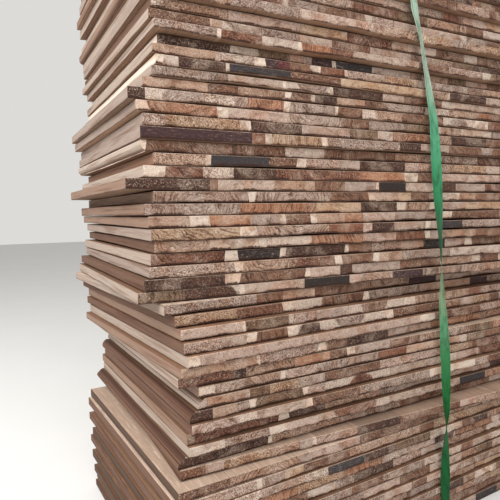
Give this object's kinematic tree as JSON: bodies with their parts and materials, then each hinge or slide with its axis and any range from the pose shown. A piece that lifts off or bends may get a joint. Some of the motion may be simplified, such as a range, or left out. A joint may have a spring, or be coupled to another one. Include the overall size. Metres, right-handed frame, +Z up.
{
  "type": "pile of edge-glued acacia boards",
  "caption": "Tall pile of planed, edge-glued acacia boards laid flat in slightly skewed lifts, held by a slack twisted green plastic strap.",
  "frame": {"origin": "centre of the pile's bounding box, at the floor it stands on", "axes": "+X across the boards' staves, +Y along the grain away from the end grain that faces the viewer, +Z up"},
  "size_m": [1.3182, 0.681, 1.2181],
  "materials": {
    "acacia": "planed faces, sawn end grain, unfinished",
    "strap_plastic": "embossed polyester band"
  },
  "bodies": {
    "root": {"boards_01_02": "acacia", "boards_03_04": "acacia", "boards_05_06": "acacia", "boards_07_08": "acacia", "boards_09_10": "acacia", "boards_11_12": "acacia", "boards_13_14": "acacia", "boards_15_16": "acacia", "boards_17_18": "acacia", "boards_19_20": "acacia", "boards_21_22": "acacia", "boards_23_24": "acacia", "boards_25_26": "acacia", "boards_27_28": "acacia", "boards_29_30": "acacia", "boards_31_32": "acacia", "boards_33_34": "acacia", "boards_35_36": "acacia", "boards_37_38": "acacia", "boards_39_40": "acacia", "boards_41_42": "acacia", "boards_43_44": "acacia", "boards_45_46": "acacia", "boards_47_48": "acacia", "boards_49_50": "acacia", "boards_51_52": "acacia", "boards_53_54": "acacia", "boards_55_56": "acacia", "boards_57_58": "acacia", "boards_59_60": "acacia", "boards_61_62": "acacia", "boards_63_64": "acacia", "strap": "strap_plastic"}
  },
  "joints": []
}
